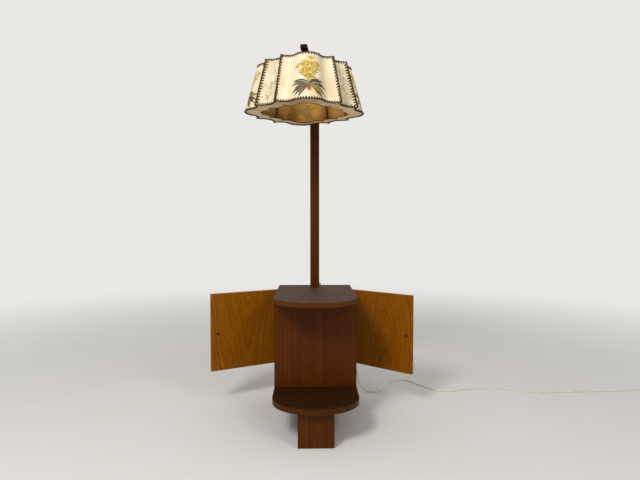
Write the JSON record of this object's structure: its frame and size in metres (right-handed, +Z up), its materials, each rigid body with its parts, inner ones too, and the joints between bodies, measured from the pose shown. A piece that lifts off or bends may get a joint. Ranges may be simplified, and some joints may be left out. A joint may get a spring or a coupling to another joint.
{
  "type": "floor lamp with side cabinet",
  "caption": "Wooden floor lamp on a plinth with a round-ended side cabinet, side doors, square pole, tilting swing arm and a laced parchment shade with its cord.",
  "frame": {"origin": "middle of the plinth's underside, on the floor", "axes": "+Z up; +Y to the back, where the pole, the hinges and the cord are; +X to the right of someone who faces the front panel"},
  "size_m": [2.4481, 0.8502, 1.6508],
  "materials": {
    "foot_walnut": "satin",
    "inner_softwood": "matte",
    "dark_shelf_wood": "satin",
    "dark_top_wood": "gloss",
    "edge_veneer": "satin",
    "straight_grain_mahogany": "satin",
    "cathedral_grain_veneer": "satin",
    "beech_dowel": "matte",
    "pole_walnut": "satin",
    "ebonised_wood": "satin",
    "turned_knob_wood": "gloss",
    "steel_screws": "satin",
    "brass": "satin",
    "blackened_brass": "satin",
    "black_bakelite": "gloss",
    "ivory_bakelite": "gloss",
    "dark_wire": "matte",
    "pale_cord": "satin",
    "felt_washer": "matte",
    "painted_parchment": "matte",
    "fibre_paper": "matte",
    "plain_parchment": "matte",
    "brown_lacing": "matte",
    "bulb_cap_metal": "satin",
    "frosted_glass": "satin"
  },
  "bodies": {
    "stand": {"plinth_ends": "foot_walnut", "plinth_sides": "foot_walnut", "plinth_floor": "inner_softwood", "plinth_cleats": "inner_softwood", "shelf_screws": "steel_screws", "lower_shelf": "dark_shelf_wood", "lower_shelf_edge": "edge_veneer", "front_panel": "straight_grain_mahogany", "back_panel": "straight_grain_mahogany", "top_board": "dark_top_wood", "top_board_edge": "edge_veneer", "panel_dowels": "beech_dowel", "pole": "pole_walnut", "pole_screws": "steel_screws", "cord_grommet": "black_bakelite", "cord_eye": "dark_wire", "lead_in_pole": "pale_cord", "hinge_fixed_leaves": "brass", "hinge_pins": "brass", "hinge_fixed_screws": "brass", "swivel_bush": "brass", "cord": "pale_cord", "cord_coil": "pale_cord", "plug_body": "ivory_bakelite", "plug_pins": "brass"},
    "left_door": {"left_door": "cathedral_grain_veneer", "left_hinge_leaves": "brass", "left_hinge_screws": "brass", "left_knob": "turned_knob_wood", "left_knob_screw": "steel_screws"},
    "right_door": {"right_door": "cathedral_grain_veneer", "right_hinge_leaves": "brass", "right_hinge_screws": "brass", "right_knob": "turned_knob_wood", "right_knob_screw": "steel_screws"},
    "swivel": {"swivel_fork": "blackened_brass", "tilt_washers": "felt_washer", "tilt_bolt": "blackened_brass"},
    "clamp_knob": {"clamp_knob": "black_bakelite"},
    "arm": {"arm": "ebonised_wood", "hanger_pin": "blackened_brass", "lead_in_arm": "pale_cord"},
    "shade": {"hanger_link": "blackened_brass", "lampholder_cap": "black_bakelite", "lampholder": "black_bakelite", "shade_ring_nuts": "black_bakelite", "shade_carrier": "dark_wire", "shade_wire_frame": "dark_wire", "front_shade_panel": "painted_parchment", "right_shade_panel": "painted_parchment", "back_shade_panel": "painted_parchment", "left_shade_panel": "painted_parchment", "corner_shade_panels": "fibre_paper", "shade_collar": "plain_parchment", "lacing_top": "brown_lacing", "lacing_bottom": "brown_lacing", "lacing_seams": "brown_lacing", "bulb_base": "bulb_cap_metal", "bulb_glass": "frosted_glass"},
    "switch_key": {"switch_key": "black_bakelite"}
  },
  "joints": [
    {"name": "left_door_hinge", "type": "hinge", "parent": "stand", "child": "left_door", "pos_m": [-0.1637, 0.3268, 0.354], "axis": [0, 0, -1], "range_deg": [-63, 27]},
    {"name": "right_door_hinge", "type": "hinge", "parent": "stand", "child": "right_door", "pos_m": [0.1637, 0.3268, 0.354], "axis": [0, 0, 1], "range_deg": [-51, 39]},
    {"name": "arm_swing", "type": "hinge", "parent": "stand", "child": "swivel", "pos_m": [0, 0.2845, 1.569], "axis": [0, 0, 1], "range_deg": [-81.57, 98.43]},
    {"name": "arm_tilt", "type": "hinge", "parent": "swivel", "child": "arm", "pos_m": [0, 0.2845, 1.569], "axis": [-0.9892, 0.1466, 0], "range_deg": [-25, 5]},
    {"name": "shade_hang", "type": "hinge", "parent": "arm", "child": "shade", "pos_m": [-0.04631, -0.02799, 1.63615], "axis": [-0.9892, 0.1466, 0], "range_deg": [-5, 25]},
    {"name": "clamp_knob_turn", "type": "hinge", "parent": "swivel", "child": "clamp_knob", "pos_m": [0, 0.2845, 1.569], "axis": [0.9892, -0.1466, 0], "range_deg": [0, 540]},
    {"name": "switch_key_turn", "type": "hinge", "parent": "shade", "child": "switch_key", "pos_m": [-0.04631, -0.02799, 1.57015], "axis": [0.9892, -0.1466, 0], "range_deg": [0, 90]}
  ],
  "couplings": [
    {"joint": "shade_hang", "follows": "arm_tilt", "ratio": -1}
  ]
}
